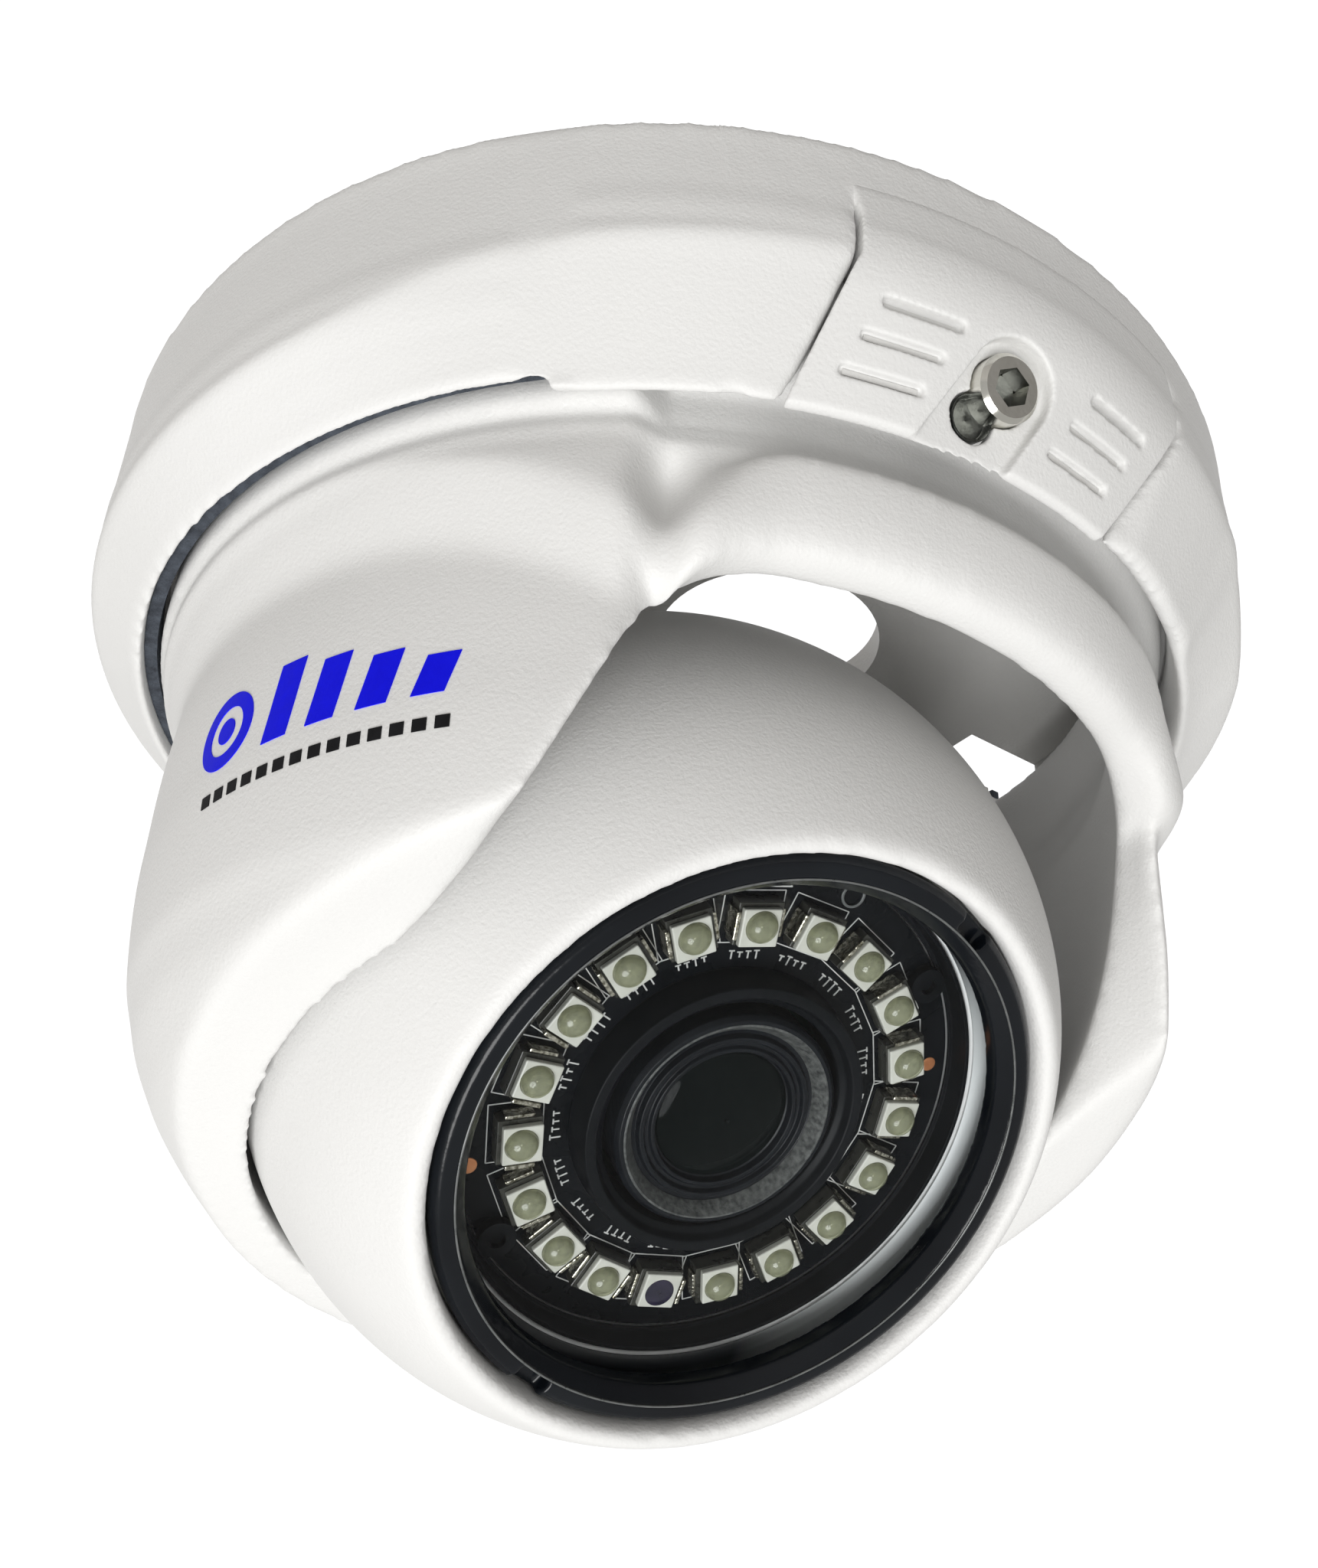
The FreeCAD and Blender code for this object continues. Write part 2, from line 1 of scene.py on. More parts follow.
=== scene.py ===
"""Looks of a ceiling turret camera: cast white housing, black ringed window, LED board and lens."""

import json
import math
import random

import bmesh
import bpy
import numpy as np
from mathutils import Matrix, Vector
from mathutils.bvhtree import BVHTree


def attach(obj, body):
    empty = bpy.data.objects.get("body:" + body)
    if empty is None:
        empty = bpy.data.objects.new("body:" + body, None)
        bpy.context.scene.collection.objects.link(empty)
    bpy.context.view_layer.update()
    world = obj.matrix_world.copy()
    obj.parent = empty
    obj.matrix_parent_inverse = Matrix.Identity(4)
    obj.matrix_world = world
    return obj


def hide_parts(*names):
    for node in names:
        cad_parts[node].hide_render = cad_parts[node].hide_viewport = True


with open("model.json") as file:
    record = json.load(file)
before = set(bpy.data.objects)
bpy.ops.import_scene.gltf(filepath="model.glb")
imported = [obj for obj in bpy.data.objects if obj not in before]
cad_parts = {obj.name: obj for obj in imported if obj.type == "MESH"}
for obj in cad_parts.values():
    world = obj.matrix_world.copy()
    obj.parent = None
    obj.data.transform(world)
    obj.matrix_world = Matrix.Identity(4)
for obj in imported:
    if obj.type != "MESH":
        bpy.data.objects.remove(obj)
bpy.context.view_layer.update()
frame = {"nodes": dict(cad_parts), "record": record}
nodes = frame["nodes"]
random.seed(7)

# ---------------------------------------------------------------- places and sizes, in mm and degrees
MM = 0.001
BALL_CENTRE = Vector((0, 0, -40 * MM))
TILT = math.radians(42)                   # of the line of sight off straight down, at rest
BALL = Matrix.Translation(BALL_CENTRE) @ Matrix.Rotation(math.pi - TILT, 4, "X")   # +Z looks out

BOARD_TOP = 13.0                          # face of the LED board, out from the ball's centre
LED_CIRCLE = 13.9                         # radius of the ring of packages
LED_PLACES = 19
SENSOR_PLACE = 10                         # the place in the ring that holds the light sensor
LED_LONG, LED_SHORT, LED_TALL = 3.7, 3.0, 1.7
LED_TOP = BOARD_TOP + LED_TALL
FRAME_TALL = 0.5                          # white top of each package, above its body, whose dark colour is painted shade
DOME_R, DOME_FLATTEN = 1.1, 0.74
WELL_DEEP = 0.2                           # reflector's floor below the package's top
PRINT_WIDE, PRINT_TALL = 0.07, 0.04       # white lines on the board
TICK_WIDE = 0.1
COPPER_DOTS = ((27, 16.5, 0.55), (-149, 17.0, 0.6))                  # azimuth, radius, size
EYELETS = ((51, 16.75, 1.25), (84, 17.0, 0.9), (231, 16.75, 1.25))   # azimuth, radius, size

BLOCK_AZ = -95.3                          # middle of the clamp block
BLOCK_LEAN = math.radians(22)             # of its seams off upright
LOCK_LEAN = math.radians(115)             # of the lock screw off the ceiling normal
LOCK = (Matrix.Rotation(math.radians(BLOCK_AZ), 4, "Z")
        @ Matrix.Translation((44.45 * MM, 0, -14.2 * MM))
        @ Matrix.Rotation(LOCK_LEAN, 4, "Y"))                        # +Z points out along the screw


# ---------------------------------------------------------------- node materials
def shader(name, **settings):
    """New material; settings are the sockets of its Principled shader."""
    material = bpy.data.materials.new(name)
    material.use_nodes = True
    surface = material.node_tree.nodes["Principled BSDF"]
    for socket, value in settings.items():
        surface.inputs[socket.replace("_", " ")].default_value = value
    return material, material.node_tree, surface


def node(tree, kind, inputs=None, **properties):
    made = tree.nodes.new(kind)
    for key, value in properties.items():
        setattr(made, key, value)
    for key, value in (inputs or {}).items():
        if isinstance(value, bpy.types.NodeSocket):
            tree.links.new(value, made.inputs[key])
        else:
            made.inputs[key].default_value = value
    return made


def noise(tree, scale, detail=3.0):
    place = node(tree, "ShaderNodeTexCoord").outputs["Object"]
    return node(tree, "ShaderNodeTexNoise", {"Vector": place, "Scale": scale, "Detail": detail,
                                             "Roughness": 0.5}).outputs["Fac"]


def tones(tree, factor, stops):
    """Colour ramp over a factor; stops are (position, colour)."""
    made = node(tree, "ShaderNodeValToRGB", {"Fac": factor})
    ramp = made.color_ramp
    while len(ramp.elements) < len(stops):
        ramp.elements.new(0.5)
    for element, (position, colour) in zip(ramp.elements, stops):
        element.position = position
        element.color = (*colour, 1)
    return made.outputs["Color"]


def bump(tree, surface, height, distance):
    made = node(tree, "ShaderNodeBump", {"Height": height, "Distance": distance, "Strength": 1.0})
    tree.links.new(made.outputs["Normal"], surface.inputs["Normal"])


def finish(name, low, high, scale, grain_scale, grain, roughness, **settings):
    """Material whose colour drifts from low to high, with roughness that drifts too and a fine
    grain, whose depth is in metres."""
    material, tree, surface = shader(name, **settings)
    patches = noise(tree, scale)
    tree.links.new(tones(tree, patches, [(0.3, low), (0.7, high)]), surface.inputs["Base Color"])
    drift = node(tree, "ShaderNodeMapRange", {"Value": patches, "From Min": 0.3, "From Max": 0.7,
                                              "To Min": roughness[0], "To Max": roughness[1]})
    tree.links.new(drift.outputs["Result"], surface.inputs["Roughness"])
    if grain:
        bump(tree, surface, noise(tree, grain_scale, 2.0), grain)
    return material


def metal(name, low, high, scale, grain_scale, grain, roughness, metallic=1.0):
    return finish(name, low, high, scale, grain_scale, grain, roughness, Metallic=metallic)


def dull(name, low, high, scale, grain_scale, grain, roughness, specular):
    return finish(name, low, high, scale, grain_scale, grain, roughness,
                  Specular_IOR_Level=specular)


WHITE = finish("white_powder_coat", (0.81, 0.808, 0.80), (0.84, 0.838, 0.83),
               45, 3800, 0.00004, (0.50, 0.60))
PLATE = finish("cast_plate_paint", (0.66, 0.655, 0.64), (0.72, 0.715, 0.70),
               60, 3000, 0.00006, (0.5, 0.65))
FOAM = finish("slate_foam", (0.030, 0.036, 0.048), (0.075, 0.088, 0.11),
              900, 2600, 0.00025, (0.8, 0.95))
RUBBER = finish("black_rubber", (0.010, 0.010, 0.012), (0.022, 0.022, 0.024),
                150, 3000, 0.00003, (0.45, 0.6))
BLACK_GLOSS = dull("black_gloss", (0.003, 0.004, 0.006), (0.006, 0.008, 0.011),
                   120, 2500, 0.000008, (0.14, 0.22), 0.30)
BLACK_SATIN = dull("black_satin", (0.003, 0.004, 0.005), (0.006, 0.007, 0.009),
                   200, 3500, 0.00001, (0.34, 0.46), 0.12)
BOARD = dull("black_solder_mask", (0.002, 0.003, 0.004), (0.005, 0.006, 0.008),
             220, 2500, 0.00001, (0.22, 0.32), 0.12)
GREEN = finish("green_solder_mask", (0.006, 0.075, 0.03), (0.01, 0.11, 0.045),
               200, 1500, 0.00002, (0.3, 0.42))
STEEL = metal("plain_steel", (0.50, 0.50, 0.51), (0.62, 0.62, 0.63),
              300, 2500, 0.00001, (0.28, 0.40))
# Dark steel, also used as painted shade in the lock screw's socket and the side hole.
DARK_STEEL_AND_SHADE = metal("dark_steel_and_painted_shade", (0.03, 0.032, 0.03), (0.10, 0.105, 0.10),
                   1800, 2500, 0.00002, (0.25, 0.4), 0.9)
NICKEL = metal("bright_nickel", (0.70, 0.69, 0.64), (0.80, 0.79, 0.74),
               500, 2500, 0.00001, (0.10, 0.22))
BRASS = metal("turned_brass", (0.68, 0.50, 0.22), (0.78, 0.60, 0.30),
              300, 2500, 0.00001, (0.25, 0.35))
BRONZE = metal("sintered_bronze", (0.48, 0.30, 0.15), (0.60, 0.40, 0.20),
               500, 4000, 0.00002, (0.4, 0.55))
COPPER = metal("bare_copper", (0.72, 0.28, 0.12), (0.85, 0.38, 0.18),
               900, 4000, 0.00001, (0.3, 0.4), 0.6)
NYLON = finish("natural_nylon", (0.66, 0.64, 0.58), (0.74, 0.72, 0.66),
               200, 2500, 0.00002, (0.4, 0.5))
PACKAGE = finish("led_package", (0.54, 0.54, 0.48), (0.64, 0.64, 0.58),
                 700, 4000, 0.00001, (0.28, 0.40))
TIN = metal("tinned_terminal", (0.10, 0.09, 0.05), (0.85, 0.82, 0.70),
            3500, 5000, 0.00004, (0.10, 0.25))
PRINT = finish("white_print", (0.50, 0.50, 0.48), (0.70, 0.70, 0.68),
               2000, 5000, 0.0, (0.5, 0.6))
BLUE_PRINT = dull("blue_print", (0.003, 0.003, 0.80), (0.005, 0.006, 0.88),
                  900, 4000, 0.00001, (0.5, 0.6), 0.10)
DARK_PRINT = dull("dark_print", (0.008, 0.008, 0.009), (0.014, 0.014, 0.016),
                  900, 4000, 0.00001, (0.5, 0.6), 0.10)
# Painted shade: dark colour for the LED packages' sides below their white tops.
LED_SIDE_SHADE = finish("led_side_painted_shade", (0.020, 0.020, 0.016), (0.045, 0.045, 0.036),
                  900, 4000, 0.00001, (0.25, 0.35))
LED_WELL = metal("led_reflector", (0.10, 0.10, 0.07), (0.30, 0.30, 0.21),
                 2500, 4000, 0.00001, (0.15, 0.25), 0.4)
ANODISED = dull("blasted_anodised", (0.003, 0.004, 0.006), (0.007, 0.009, 0.012),
                300, 1900, 0.00003, (0.30, 0.40), 0.22)
# Lighter grey for the lens barrel's front bevel: a painted highlight on the rim.
RIM_HIGHLIGHT_GREY = finish("lens_rim_painted_highlight", (0.03, 0.032, 0.032), (0.12, 0.125, 0.12),
                   2600, 4500, 0.00003, (0.30, 0.45))
EYELET = metal("eyelet_ring", (0.16, 0.17, 0.17), (0.26, 0.27, 0.27),
               900, 3000, 0.00001, (0.25, 0.35), 0.7)
SENSOR = finish("sensor_face", (0.010, 0.010, 0.020), (0.025, 0.020, 0.045),
                900, 3000, 0.0, (0.05, 0.10))
COATED = dull("coated_glass", (0.002, 0.0035, 0.0035), (0.004, 0.006, 0.006),
              90, 2500, 0.0, (0.02, 0.04), 0.05)


def clear(name, tint, gloss_roughness, body=0.0, ior=1.45):
    """Thin clear material: see-through with Fresnel reflections on its outer side, and a share
    of milky body colour."""
    material, tree, surface = shader(name, Roughness=0.35)
    surface.inputs["Base Color"].default_value = (*tint, 1)
    output = tree.nodes["Material Output"]
    paler = (*[0.5 + 0.5 * c for c in tint], 1)
    through = node(tree, "ShaderNodeBsdfTransparent", {"Color": paler})
    smear = node(tree, "ShaderNodeMapRange", {"Value": noise(tree, 300),
                                              "To Min": gloss_roughness,
                                              "To Max": gloss_roughness * 2.0})
    gloss = node(tree, "ShaderNodeBsdfAnisotropic", {"Roughness": smear.outputs["Result"]})
    inside = node(tree, "ShaderNodeMixShader",
                  {0: body, 1: through.outputs[0], 2: surface.outputs[0]})
    edge = node(tree, "ShaderNodeFresnel", {"IOR": ior})
    side = node(tree, "ShaderNodeNewGeometry")
    outer = node(tree, "ShaderNodeMath", {0: 1.0, 1: side.outputs["Backfacing"]},
                 operation="SUBTRACT")
    share = node(tree, "ShaderNodeMath", {0: edge.outputs[0], 1: outer.outputs[0]},
                 operation="MULTIPLY")
    whole = node(tree, "ShaderNodeMixShader",
                 {0: share.outputs[0], 1: inside.outputs[0], 2: gloss.outputs[0]})
    tree.links.new(whole.outputs[0], output.inputs["Surface"])
    return material


WINDOW = clear("clear_window", (0.97, 0.99, 1.0), 0.01, ior=1.28)
LED_DOME = clear("led_silicone", (0.60, 0.62, 0.42), 0.03, 0.30)
FILTER = clear("filter_glass", (0.55, 0.80, 0.85), 0.02, 0.3)


def seal_painted_highlight():
    """Black seal with a painted highlight: its colour turns pale grey towards its +X side."""
    material, tree, surface = shader("seal_painted_highlight", Roughness=0.32)
    place = node(tree, "ShaderNodeTexCoord").outputs["Object"]
    across = node(tree, "ShaderNodeSeparateXYZ", {"Vector": place}).outputs["X"]
    run = node(tree, "ShaderNodeMapRange", {"Value": across, "From Min": 0.0, "From Max": 18 * MM})
    stops = [(0.0, (0.012, 0.013, 0.015)), (0.55, (0.03, 0.033, 0.036)), (0.95, (0.62, 0.64, 0.64))]
    tree.links.new(tones(tree, run.outputs["Result"], stops), surface.inputs["Base Color"])
    return material


# Seal colour: black, with a painted highlight that turns pale grey towards +X.
SEAL_PAINTED_HIGHLIGHT = seal_painted_highlight()

MATERIAL_OF_SLOT = {
    "white_cast": WHITE, "plate_cast": PLATE, "foam": FOAM, "steel": STEEL, "nickel": NICKEL,
    "nylon": NYLON, "bronze": BRONZE, "black_rubber": RUBBER, "black_plastic": BLACK_SATIN,
    "black_anodised": BLACK_GLOSS, "window": WINDOW, "black_board": BOARD, "led_body": PACKAGE,
    "led_lens": LED_DOME, "lens_glass": COATED, "filter_glass": FILTER, "sensor": SENSOR,
    "green_board": GREEN, "brass": BRASS, "connector": NYLON,
}
for part in frame["record"]["subparts"]:
    cad = nodes[part["node"]]
    cad.data.materials.clear()
    cad.data.materials.append(MATERIAL_OF_SLOT[part["material_slot"]])


# ---------------------------------------------------------------- meshes
def add_piece(name, mesh, material, body, stands_for=(), smooth=True):
    piece = bpy.data.objects.new(name, mesh)
    bpy.context.scene.collection.objects.link(piece)
    mesh.materials.clear()
    mesh.materials.append(material)
    mesh.polygons.foreach_set("use_smooth", [smooth] * len(mesh.polygons))
    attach(piece, body)
    if stands_for:
        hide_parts(*stands_for)
    return piece


def sharpen(piece, degrees=35):
    """Flat where faces meet at more than this angle, smooth elsewhere."""
    piece.data.set_sharp_from_angle(angle=math.radians(degrees))


def mesh_of(bm, name):
    """Mesh from a bmesh, which is used up."""
    mesh = bpy.data.meshes.new(name)
    bm.to_mesh(mesh)
    bm.free()
    return mesh


def corner_arcs(outline, radius, steps=4):
    """Closed outline with every corner rounded, as far as its two sides allow."""
    points = [Vector(p) for p in outline]
    made = []
    for i, corner in enumerate(points):
        before, after = points[i - 1], points[(i + 1) % len(points)]
        to_before, to_after = before - corner, after - corner
        reach = min(radius, 0.45 * to_before.length, 0.45 * to_after.length)
        start = corner + to_before.normalized() * reach
        end = corner + to_after.normalized() * reach
        for i_step in range(steps + 1):
            t = i_step / steps
            made.append((1 - t) ** 2 * start + 2 * t * (1 - t) * corner + t * t * end)
    return made


def turned(outline, radius=0.15, segments=192, place=BALL):
    """Mesh turned about the axis of place from a closed outline of (r, h) in mm."""
    ring = corner_arcs(outline, radius)
    verts, faces, count = [], [], len(ring)
    for s in range(segments):
        a = 2 * math.pi * s / segments
        for r, h in ring:
            verts.append(place @ (MM * Vector((r * math.cos(a), r * math.sin(a), h))))
        for i in range(count):
            n, j = (s + 1) % segments, (i + 1) % count
            faces.append((s * count + i, n * count + i, n * count + j, s * count + j))
    mesh = bpy.data.meshes.new("turned")
    mesh.from_pydata(verts, [], faces)
    mesh.update()
    bm = bmesh.new()
    bm.from_mesh(mesh)
    bmesh.ops.remove_doubles(bm, verts=bm.verts, dist=1e-7)
    bmesh.ops.recalc_face_normals(bm, faces=bm.faces)
    bm.to_mesh(mesh)
    bm.free()
    return mesh


class Boxes:
    """Bevelled boxes gathered into one mesh. Sizes and places are in mm, in the frame of place."""

    def __init__(self, place=BALL):
        self.bm, self.place = bmesh.new(), place

    def add(self, size, centre, turn=0.0, bevel=0.08):
        """Box with its centre at (r, y, h) before it is turned about the axis."""
        made = bmesh.ops.create_cube(self.bm, size=1.0)["verts"]
        scale = Matrix.Diagonal((*[s * MM for s in size], 1))
        spin = Matrix.Rotation(turn, 4, "Z")
        shift = Matrix.Translation(Vector(centre) * MM)
        bmesh.ops.transform(self.bm, matrix=self.place @ (spin @ shift) @ scale, verts=made)
        edges = list({e for v in made for e in v.link_edges})
        if bevel:
            bmesh.ops.bevel(self.bm, geom=edges, offset=bevel * MM, segments=2, affect="EDGES",
                            profile=0.5)

    def mesh(self, name):
        bmesh.ops.recalc_face_normals(self.bm, faces=self.bm.faces)
        return mesh_of(self.bm, name)


def coordinates(mesh):
    co = np.zeros(len(mesh.vertices) * 3, np.float32)
    mesh.vertices.foreach_get("co", co)
    return co.reshape(-1, 3).astype(float)


def smoothed(co, edges, rounds, share):
    """Moves each point towards the mean of its neighbours; share is how far, for each point."""
    a, b = edges[:, 0], edges[:, 1]
    count = np.bincount(a, minlength=len(co)) + np.bincount(b, minlength=len(co))
    for _ in range(rounds):
        total = np.empty_like(co)
        for k in range(3):
            total[:, k] = np.bincount(a, co[b, k], len(co)) + np.bincount(b, co[a, k], len(co))
        co = co + share[:, None] * (total / count[:, None] - co)
    return co


def cast(name, source, body, grid, rounds, relief=None, share=None, material=WHITE):
    """Closed skin over a CAD solid with a casting's soft edges. relief(points in mm) moves the
    points first; share(points in mm) says how strongly each one is smoothed."""
    rough = bpy.data.objects.new(name + "_rough", nodes[source].data.copy())
    bpy.context.scene.collection.objects.link(rough)
    remesh = rough.modifiers.new("skin", "REMESH")
    remesh.mode = "VOXEL"
    remesh.voxel_size = grid * MM
    bpy.context.view_layer.update()
    shown = rough.evaluated_get(bpy.context.evaluated_depsgraph_get())
    skin = bpy.data.meshes.new_from_object(shown)
    bpy.data.objects.remove(rough)
    co = coordinates(skin) / MM
    edges = np.zeros(len(skin.edges) * 2, np.int64)
    skin.edges.foreach_get("vertices", edges)
    edges = edges.reshape(-1, 2)
    co = smoothed(co, edges, 3, np.full(len(co), 0.5))         # takes the voxels' steps away
    if relief:
        co = relief(co)
    co = smoothed(co, edges, rounds, 0.5 * (share(co) if share else np.ones(len(co))))
    skin.vertices.foreach_set("co", (co * MM).astype(np.float32).ravel())
    skin.update()
    return add_piece(name, skin, material, body, [source])


def step(value, low, high):
    """0 below low, 1 above high, smooth in between; low may be above high."""
    t = np.clip((value - low) / (high - low), 0, 1)
    return t * t * (3 - 2 * t)


def table(points, at):
    """Straight lines through (place, value) points."""
    places, values = zip(*points)
    return np.interp(at, places, values)


# ---------------------------------------------------------------- cowl
# Outlines are (height, radius) in mm. Heights run down from the ceiling, which is 0.
CAD_COWL = ((-62.5, 24.0), (-57.0, 29.8), (-50.7, 33.3), (-46.0, 35.3), (-41.0, 36.7),
            (-35.0, 37.6), (-25.0, 38.6), (-21.4, 38.8), (-19.4, 39.2), (-17.8, 40.5))
COWL_BORE = ((-62.0, 20.0), (-47.0, 29.8), (-40.0, 30.6), (-33.0, 34.5), (-20.5, 35.4),
             (-17.0, 36.8), (-11.0, 36.8))
CHEEK_PANEL = ((-62.5, 24.0), (-57.0, 29.4), (-52.0, 32.9), (-48.5, 35.0), (-45.0, 36.5),
               (-41.0, 37.2), (-30.0, 37.6))
BROW_TOP, BROW_DROP, BROW_SLOPE = -19.0, 7.6, 5.3    # the cheek's arched upper edge
BROW_END, BROW_FULL = 58, 54.0                       # degrees towards the front
BROW_R, PANEL_R, BROW_STEP = 39.9, 37.3, 2.6
BAND_TOP, BAND_DIP = -20.9, 3.5                      # upper edge of the band's roll
BAND_R, BAND_LEAST_R, ROLL_IN, ROLL_TALL = 40.0, 38.0, 2.9, 5.0
VALLEY_AT, VALLEY_WIDE, VALLEY_DEEP = 55.8, 2.2, 2.0
NECK_END = -17.9                                     # the neck is above this height
NECK_CAD_R, NECK_R = 40.6, 38.0
BAND_SAG = 2.4


def cowl_relief(co):
    """Raised cheeks with an arched brow and a flat panel, and the rolled band over the slot."""
    x, y, z = co.T
    radius = np.hypot(x, y)
    off_side = np.degrees(np.arctan2(-y, np.abs(x)))       # 0 over the pivots, 90 at the front
    front = np.clip(off_side, 0, None)
    brow = BROW_TOP - BROW_DROP * (np.minimum(front, BROW_END) / BROW_FULL) ** 3.3
    below = np.clip((brow - z) / BROW_SLOPE, 0, 1)
    cheek = np.where(z > brow, BROW_R - 0.05 * (z - brow), BROW_R - BROW_STEP * below)
    panel = np.minimum(table(CHEEK_PANEL, z), PANEL_R)
    cheek = np.where(z < brow - BROW_SLOPE, panel, cheek)
    band_brow = BAND_TOP - BAND_DIP * step(np.abs(off_side - 90), 22, 36)
    roll = np.clip((band_brow - z) / ROLL_TALL, 0, 1)
    above = np.maximum(BAND_R - 2.0 * (z - band_brow), BAND_LEAST_R)
    band = np.where(z > band_brow, above, BAND_R - ROLL_IN * roll * roll)
    sharp_side = step(x, 4.0, -4.0)                        # cheek and band part sharply at -X only
    sharp, soft = step(front, 56.5, 52.5), step(front, 66.0, 34.0)
    is_cheek = sharp_side * sharp + (1 - sharp_side) * soft
    wanted = is_cheek * cheek + (1 - is_cheek) * band
    valley = np.exp(-((front - VALLEY_AT) / VALLEY_WIDE) ** 2) * step(z, -19.0, -22.5)
    wanted = wanted - VALLEY_DEEP * valley * sharp_side
    inner, outer = table(COWL_BORE, z), table(CAD_COWL, z)
    depth = step((radius - inner) / (outer - inner), 0.35, 0.95)
    in_neck = step(z, -12.5, -15.0) * (1 - is_cheek)
    moved = np.where(z < NECK_END, (wanted - outer) * depth, (NECK_R - NECK_CAD_R) * depth * in_neck)
    scale = 1 + moved / np.maximum(radius, 1)
    hangs = step(z, -21.5, -24.6) * step(z, -31.0, -27.0)
    sag = BAND_SAG * (1 - is_cheek) * (y < 0) * hangs
    return np.stack([x * scale, y * scale, z - sag], 1)


def cowl_share(co):
    """Heavy rounding on the outer edges of slot and skirt; crisp at ball, neck and bore."""
    x, y, z = co.T
    radius = np.hypot(x, y)
    from_ball = np.linalg.norm(co - np.array(BALL_CENTRE) / MM, axis=1)
    soft = 0.25 + 0.75 * step(radius, 33.0, 36.0) * step(z, -21.0, -24.0)
    return soft * step(from_ball, 30.9, 33.0) + 0.06


cowl = cast("cowl_casting", "bracket_cowl", "bracket", 0.4, 15, cowl_relief, cowl_share)

# ---------------------------------------------------------------- base and clamp block
CAD_PLAIN = ((-17.4, 42.6), (-15.0, 45.0), (-12.6, 46.1), (-9.6, 46.6), (0, 47.0))
CAD_PAD = ((-18.0, 41.8), (-11.6, 45.0), (-9.2, 46.1), (-6.2, 46.6), (0, 47.0))
PAD_FROM, PAD_TO = -134, -30              # azimuths of the thickened front stretch
SHOULDER = ((-180, -14.1), (-164, -14.1), (-154, -13.7), (-147, -12.9), (-140, -11.8),
            (-134, -11.1), (-128, -10.6), (-121, -10.3), (-108, -9.5), (-78, -9.2),
            (-64, -9.8), (-46, -14.1), (180, -14.1))                 # azimuth, height
SHOULDER_R, WALL_R = 46.5, 46.9
LIP_R, LIP_Z, PAD_LIP_IN, PAD_LIP_DOWN = 42.5, -17.6, 0.7, 0.5
FACET_OUT = 0.5                           # low swelling beyond the clamp block
SEAM_TOP = -9.5                           # the block's seams lean below this height


def placed(radius, azimuth, z):
    """Points from cylinder coordinates, with the clamp block's seams upright above their lean."""
    lean = math.degrees(math.tan(BLOCK_LEAN) / SHOULDER_R) * np.maximum(z - SEAM_TOP, 0)
    angle = np.radians(azimuth - lean * step(np.abs(azimuth - BLOCK_AZ), 27, 20))
    return np.stack([radius * np.cos(angle), radius * np.sin(angle), z], 1)


def base_relief(co):
    """Straight wall over a cone; the shoulder between them climbs along the front stretch."""
    x, y, z = co.T
    radius = np.hypot(x, y)
    azimuth = np.degrees(np.arctan2(y, x))
    cad_plain, cad_pad = table(CAD_PLAIN, z), table(CAD_PAD, z)
    on_pad = (azimuth > PAD_FROM) & (azimuth < PAD_TO)
    pad = step(azimuth, PAD_FROM - 7, PAD_FROM + 5) * step(azimuth, PAD_TO + 2, PAD_TO - 10)
    shoulder = table(SHOULDER, azimuth)
    lip_r, lip_z = LIP_R - PAD_LIP_IN * pad, LIP_Z - PAD_LIP_DOWN * pad
    drop = np.clip((shoulder - z) / (shoulder - lip_z), 0, 1)
    wanted = WALL_R + 0.03 * np.maximum(z, shoulder) + (lip_r - SHOULDER_R) * drop
    facet = step(azimuth, -79, -76) * step(azimuth, -57, -62) * step(z, -8.0, -12.0)
    wanted = wanted + FACET_OUT * facet
    outer = np.where(on_pad, cad_pad, cad_plain)
    inner = np.where(z > -11.4, 43.8, 41.0)
    depth = step((radius - inner) / np.maximum(outer - inner, 0.3), 0.15, 0.95)
    moved = radius + (wanted - outer) * depth
    at_end = np.minimum(np.abs(azimuth - PAD_FROM), np.abs(azimuth - PAD_TO)) < 2.2
    in_step = at_end & (radius > np.minimum(cad_pad, cad_plain) - 0.5)
    moved = np.where(in_step, wanted, moved)
    return placed(radius + (moved - radius) * step(z, -0.2, -2.5), azimuth, z)


def clamp_relief(co):
    """The clamp block's wall runs up into the ring above it, so that no edge shows there."""
    x, y, z = co.T
    radius = np.hypot(x, y)
    dive = 0.12 * step(z, -8.0, -5.6) + 0.5 * step(z, -5.5, -5.0)
    dive = dive * step(radius, 45.5, 46.5)
    return placed(radius - dive, np.degrees(np.arctan2(y, x)), z + 1.9 * step(z, -6.6, -5.0))


def clamp_share(co):
    return 0.4 + 0.6 * step(co[:, 2], -17.0, -17.8)


cast("base_casting", "base_ring", "root", 0.35, 8, base_relief)
cast("clamp_casting", "clamp_block", "root", 0.14, 9, clamp_relief, clamp_share)

FACE_R, FACE_Z, FACE_SLOPE = 44.2, -14.35, math.radians(25.9)     # the block's grooved face
GROOVE_PITCH, GROOVE_AZ = 2.35, 10.2
# Thin strips of darker plate paint on the groove floors: painted shade in the grooves.
groove_shade_strips = Boxes()
for side in (-1, 1):
    for row in (-GROOVE_PITCH, 0, GROOVE_PITCH):
        turn = math.radians(BLOCK_AZ + side * GROOVE_AZ) + row * math.tan(BLOCK_LEAN) / 44.45
        reach = FACE_R - 0.04 * abs(row) + row * math.sin(FACE_SLOPE)
        middle = Vector((reach, 0, FACE_Z + row * math.cos(FACE_SLOPE)))
        groove_shade_strips.place = (Matrix.Rotation(turn, 4, "Z") @ Matrix.Translation(middle * MM)
                         @ Matrix.Rotation(FACE_SLOPE, 4, "Y"))
        groove_shade_strips.add((0.12, 5.0, 0.36), (-0.50, 0, 0), bevel=0.03)
add_piece("groove_painted_shade", groove_shade_strips.mesh("groove_shade_strips"), PLATE, "root", smooth=False)
